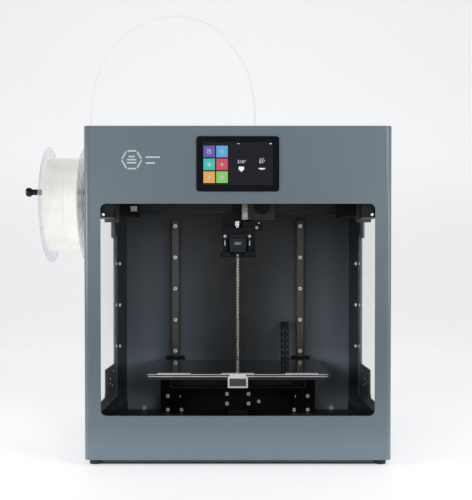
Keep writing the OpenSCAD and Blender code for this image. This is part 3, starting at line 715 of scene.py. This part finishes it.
def spokes(side, mid, width, radius):
    """Six moulded ribs on the outside of a flange."""
    bm = bmesh.new()
    for k in range(6):
        a = math.radians(60 * k + 30)
        made = bmesh.ops.create_cube(bm, size=1.0)["verts"]
        for v in made:
            along = 0.046 + (v.co.z + 0.5) * (radius - 0.051)
            across = v.co.y * 0.0016
            x = side * (width - 0.0007) + v.co.x * 0.0009
            v.co = mid + Vector((x, along * math.cos(a) - across * math.sin(a),
                                 along * math.sin(a) + across * math.cos(a)))
    finished("spool_ribs_" + ("left" if side < 0 else "right"), bm, LOOKS["spool_clear"], "spool_assembly",
             0.0002)


# ---------------------------------------------------------------- lead screw with its thread
THREAD_PITCH = 2.9 * MM
THREAD_DEPTH = 0.8 * MM


def thread_cut(z, turn):
    """How deep the thread is at a height and a share of a turn: 0 on the crest, 1 in the groove."""
    share = abs((z / THREAD_PITCH - turn) % 1.0 - 0.5)
    return min(1.0, max(0.0, (0.30 - share) / 0.12))


def lead_screw():
    """The screw with its thread cut in, and painted shade in its grooves."""
    lo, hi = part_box("lead_screw")
    cx, cy = (lo.x + hi.x) / 2, (lo.y + hi.y) / 2
    radius = (hi.x - lo.x) / 2
    sides, per_pitch = 24, 10
    rings = int((hi.z - lo.z) / THREAD_PITCH * per_pitch)
    vertices, faces = [], []
    for i in range(rings + 1):
        z = lo.z + (hi.z - lo.z) * i / rings
        for k in range(sides):
            r = radius - THREAD_DEPTH * thread_cut(z, k / sides)
            a = 2 * math.pi * k / sides
            vertices.append((cx + r * math.cos(a), cy + r * math.sin(a), z))
    for i in range(rings):
        for k in range(sides):
            k2 = (k + 1) % sides
            faces.append((i * sides + k, i * sides + k2, (i + 1) * sides + k2, (i + 1) * sides + k))
    faces.append(tuple(range(sides - 1, -1, -1)))
    faces.append(tuple(rings * sides + k for k in range(sides)))
    screw = mesh_object("lead_screw_thread", vertices, faces, smooth=False)
    give(screw, LOOKS["screw_thread"])
    # Groove faces get a darker colour: painted shade in the thread.
    screw.data.materials.append(brushed("thread_groove_shade", (0.10, 0.085, 0.07), 0.5, (200, 200, 200)))
    for face in screw.data.polygons[:rings * sides]:
        height = (face.center.z / THREAD_PITCH - (face.index % sides + 0.5) / sides) % 1.0
        face.material_index = 1 if abs(height - 0.5) < 0.22 else 0
    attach(screw, "screw_assembly")
    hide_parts("lead_screw")


# ---------------------------------------------------------------- bed cable chain
LINK = 11.5 * MM


def cable_chain():
    """Moulded links along the chain's path: out of the wall, down, round and up to the bed carrier."""
    lo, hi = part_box("bed_chain")
    x = (lo.x + hi.x) / 2
    w = (hi.x - lo.x) / 2
    y_back, y_front, z_turn = lo.y + 38.8 * MM, lo.y + 5 * MM, 66 * MM
    path = [Vector((x, hi.y - 0.002, 0.177)), Vector((x, y_back + 0.004, 0.177))]
    path += [Vector((x, y_back + 4 * MM * math.cos(a), 0.172 + 5 * MM * math.sin(a)))
             for a in (math.radians(70), math.radians(35))]
    path += [Vector((x, y_back, 0.17 - i * 0.008)) for i in range(13)]
    mid_y, r = (y_back + y_front) / 2, (y_back - y_front) / 2
    path += [Vector((x, mid_y + r * math.cos(a), z_turn - r * math.sin(a)))
             for a in (math.radians(15 * k) for k in range(1, 12))]
    path += [Vector((x, y_front, z_turn + i * 0.006)) for i in range(5)]
    total = path_length(path)
    bm = bmesh.new()
    count = int(total / LINK)
    for i in range(count):
        p, d = point_along(path, (i + 0.5) * total / count)
        side = Vector((1, 0, 0))
        up = d.cross(side).normalized()
        for x0, x1, h0, h1, share in ((-w, -w + 0.0022, -0.0047, 0.0047, 0.50),
                                      (w - 0.0022, w, -0.0047, 0.0047, 0.50),
                                      (-w, w, 0.0036, 0.0047, 0.30),
                                      (-w, w, -0.0047, -0.0036, 0.30)):
            made = bmesh.ops.create_cube(bm, size=1.0)["verts"]
            for v in made:
                v.co = (p + side * (x0 + (v.co.x + 0.5) * (x1 - x0)) + up * (h0 + (v.co.y + 0.5) * (h1 - h0))
                        + d * (v.co.z * 2 * share * LINK * 0.94))
    mesh = bpy.data.meshes.new("bed_chain_links")
    bm.to_mesh(mesh)
    bm.free()
    links = new_object("bed_chain_links", mesh)
    give(links, LOOKS["chain_plastic"])
    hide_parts("bed_chain")
    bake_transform(links)
    cable = tube("bed_cable", path, 0.0026, 10)
    give(cable, LOOKS["belt_rubber"])
    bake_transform(cable)


def point_along(path, distance):
    """The point at a distance along a path, and the direction there."""
    for a, b in zip(path, path[1:]):
        step = (b - a).length
        if distance <= step or b is path[-1]:
            return a.lerp(b, min(1.0, distance / step)), (b - a).normalized()
        distance -= step


# ---------------------------------------------------------------- print head trim and wiring
INLET_Z = 373  # mm, near the middle of the feed inlet


def head_trim():
    """The cover's label and grille, the head's wires, and the two pieces of the feed inlet."""
    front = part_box("fan_cover")[0].y
    bm = bmesh.new()
    box_mesh(bm, (-5.2 * MM, front - 0.0003, 0.3192), (5.2 * MM, front, 0.3238))
    finished("cover_label", bm, moulded("label_grey", (0.20, 0.23, 0.27), 0.4), "print_head")
    bm = bmesh.new()
    for k in range(5):
        box_mesh(bm, ((-10 + k * 4.4) * MM, front - 0.0005, 0.3110), ((-7.6 + k * 4.4) * MM, front, 0.3126))
    finished("cover_grille", bm, LOOKS["black_plastic"], "print_head")
    loom = smooth_route([(34, -52, 398), (33, -50, 408), (26, -48, 418), (14, -46, 421), (4, -49, 416),
                         (0, -50, 409)], 6)
    for k in range(3):
        offset = Vector((k * 1.5 * MM, 0, k * 0.9 * MM))
        wire = tube(f"head_wire_{k}", [p + offset for p in loom], 0.0009, 8)
        give(wire, LOOKS["belt_rubber"])
        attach(wire, "print_head")
    white = moulded("inlet_white", (0.52, 0.50, 0.46), 0.35)
    amber = moulded("amber_plastic", (0.30, 0.20, 0.09), 0.3)
    for name, z0, z1, r, paint in (("inlet_sleeve", 360.6, 379.4, 5.25, white),
                                   ("inlet_neck", 379.4, 386.4, 5.3, amber)):
        low, high = (z0 - INLET_Z) * MM, (z1 - INLET_Z) * MM
        skin = [(low, (r - 0.2) * MM), (high, (r - 0.2) * MM), (high, r * MM), (low, r * MM)]
        lathe(name, skin, (0.012, -0.066, INLET_Z * MM), "Z", paint, "print_head", 40)


def bed_edges():
    """The bright ground edges of the glass and of the aluminium plate below it."""
    for name, node, body, z0, z1 in (("glass_edge", "build_plate", "removable_plate", 0.0019, 0.0029),
                                     ("plate_edge", "heated_bed", "bed_assembly", 0.0050, 0.0062)):
        lo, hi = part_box(node)
        bm = bmesh.new()
        box_mesh(bm, (lo.x + 0.004, lo.y - 0.0003, lo.z + z0), (hi.x - 0.004, lo.y + 0.0001, lo.z + z1))
        finished(name, bm, LOOKS["edge_bright"], body, 0.0001)
    lo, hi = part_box("plate_grip")
    bm = bmesh.new()
    box_mesh(bm, (-13.2 * MM, lo.y + 0.0007, 0.0937), (13.2 * MM, lo.y + 0.0012, 0.1059))
    brown = moulded("grip_brown", (0.085, 0.070, 0.064), 0.35)
    finished("grip_insert", bm, brown, "removable_plate", 0.0002)


def small_heads():
    """Screw heads beside the windows, the gantry's connector, and the head's spring pins and heater sock."""
    bm = bmesh.new()
    for side in (-1, 1):
        for y, z in ((1, 107), (-7, 84), (-31, 98), (-34, 90)):
            cylinder_mesh(bm, (side * 212.1 * MM, y * MM, z * MM), 1.7 * MM, 0.8 * MM, "X", 20)
    for side in (-1, 1):
        for z in (145, 218, 291):
            cylinder_mesh(bm, (side * 208.6 * MM, 62 * MM, z * MM), 2.9 * MM, 3.4 * MM, "X", 24)
    finished("window_screw_heads", bm, LOOKS["screw_steel"], "root", 0.0002)
    ends_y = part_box("gantry_ends")[0].y
    bm = bmesh.new()
    box_mesh(bm, (-176.1 * MM, ends_y - 0.0002, 0.3755), (-165.3 * MM, ends_y + 0.0036, 0.3842))
    white = moulded("connector_white", (0.42, 0.42, 0.42), 0.45)
    finished("gantry_connector", bm, white, "gantry", 0.0005)
    bm = bmesh.new()
    for x in (-20.5, 19.0):
        cylinder_mesh(bm, (x * MM, -78.8 * MM, 323.6 * MM), 0.75 * MM, 7.6 * MM, "Z", 16)
        cylinder_mesh(bm, (x * MM, -78.8 * MM, 319.3 * MM), 1.5 * MM, 1.0 * MM, "Z", 16)
    finished("spring_pins", bm, LOOKS["screw_steel"], "print_head", 0.0, True)
    bm = bmesh.new()
    box_mesh(bm, (-8.4 * MM, -66.4 * MM, 304.3 * MM), (8.4 * MM, -54.7 * MM, 313.4 * MM))
    finished("heater_sock", bm, LOOKS["black_plastic"], "print_head", 0.001)


def painted_shadow_lips():
    """Thin dark lips that hang from the pan's two ribs, down to just above the table, as a painted shadow
    under the body.
    """
    bm = bmesh.new()
    for y in (-240.9, 237.4):
        box_mesh(bm, (-196 * MM, y * MM, 0.9 * MM), (196 * MM, (y + 3.4) * MM, 3.7 * MM))
    finished("painted_shadow_lips", bm, LOOKS["rubber_foot"], "root", 0.0003)


def socket_shade_discs(name, places, radius, body):
    """Black hexagons in the middle of cap heads that face the front: painted shade in their sockets."""
    bm = bmesh.new()
    for x, y, z in places:
        cylinder_mesh(bm, (x * MM, (y - 0.05) * MM, z * MM), radius * MM, 0.3 * MM, "Y", 6)
    finished(name, bm, LOOKS["black_plastic"], body)


def sockets():
    # Black discs in the hexagon sockets: painted shade.
    rail_bolts = [(x, 199, 364.7 - 60 * i) for x in (-120, 120) for i in range(6)]
    socket_shade_discs("rail_bolt_socket_shades", rail_bolts, 1.5, "root")
    socket_shade_discs("wall_screw_socket_shades", [(x, 210.8, 13) for x in (-182, 182)], 1.3, "root")
    block_bolts = [(side * (120 + x), 174.6, z)
                   for side in (-1, 1) for x in (-13, 13) for z in (14.6, 40.6, 85, 105)]
    beam_bolts = [(x, 135.6, z) for x in (-20, 20) for z in (32, 50)] + [(39, 135.6, 36)]
    socket_shade_discs("carrier_bolt_socket_shades", block_bolts + beam_bolts, 1.3, "bed_assembly")
    socket_shade_discs("head_screw_socket_shades", [(x, -80.4, 333.4) for x in (-20.5, 19)] + [(30.5, -74, 347.4)], 0.9,
                  "print_head")


BOARD_FACE = 8.1 * MM  # from the front of the standoffs to the board's rear face


def board_parts():
    """Chips, terminals and capacitors on the rear face of the control board."""
    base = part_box("control_board")[0].y + BOARD_FACE
    bm = bmesh.new()
    for x, z, w, h, t in ((-40, 270, 14, 14, 1.6), (-10, 275, 20, 20, 1.8), (20, 268, 9, 9, 1.2),
                          (45, 272, 12, 8, 1.2)):
        box_mesh(bm, (x * MM, base, z * MM), ((x + w) * MM, base + t * MM, (z + h) * MM))
    for k in range(7):
        box_mesh(bm, ((-52 + k * 20) * MM, base, 332 * MM), ((-38 + k * 20) * MM, base + 7 * MM, 341 * MM))
    finished("board_chips", bm, LOOKS["black_plastic"], "root", 0.0002)
    bm = bmesh.new()
    for k in range(4):
        cylinder_mesh(bm, ((62 + k * 9) * MM, base + 4.5 * MM, 284 * MM), 3.2 * MM, 9 * MM, "Y", 24)
    finished("board_capacitors", bm, LOOKS["alloy"], "root", 0.0002)


def belt_teeth():
    """Teeth on the inside of the two long belts' runs and of the cross belt."""
    bm = bmesh.new()
    for side in (-1, 1):
        for k in range(100):
            y = (-212 + k * 4.0) * MM
            for z0 in (423.95, 435.7):
                box_mesh(bm, (side * 206 * MM - 2.9 * MM, y, z0 * MM),
                         (side * 206 * MM + 2.9 * MM, y + 1.8 * MM, (z0 + 0.35) * MM))
    finished("y_belt_teeth", bm, LOOKS["belt_rubber"], "root")
    bm = bmesh.new()
    for k in range(80):
        x = (-160 + k * 4.0) * MM
        for y0 in (-26.9, -15.7):
            box_mesh(bm, (x, y0 * MM, 400.1 * MM), (x + 1.8 * MM, (y0 + 0.6) * MM, 405.9 * MM))
    finished("x_belt_teeth", bm, LOOKS["belt_rubber"], "gantry")


touch_screen()
sockets()
board_parts()
belt_teeth()
small_heads()
painted_shadow_lips()
front_mark()
bed_edges()
spool_and_filament()
lead_screw()
cable_chain()
head_trim()
for name in ("front_panel", "top_frame", "build_plate", "plate_grip", "fan_cover", "carriage",
             "cooling_ducts", "extruder_motor", "frame_screws", "head_screws", "carrier_bolts",
             "touch_screen", "feet", "idler_blocks", "gantry_ends", "filament_sensor"):
    soften(name)
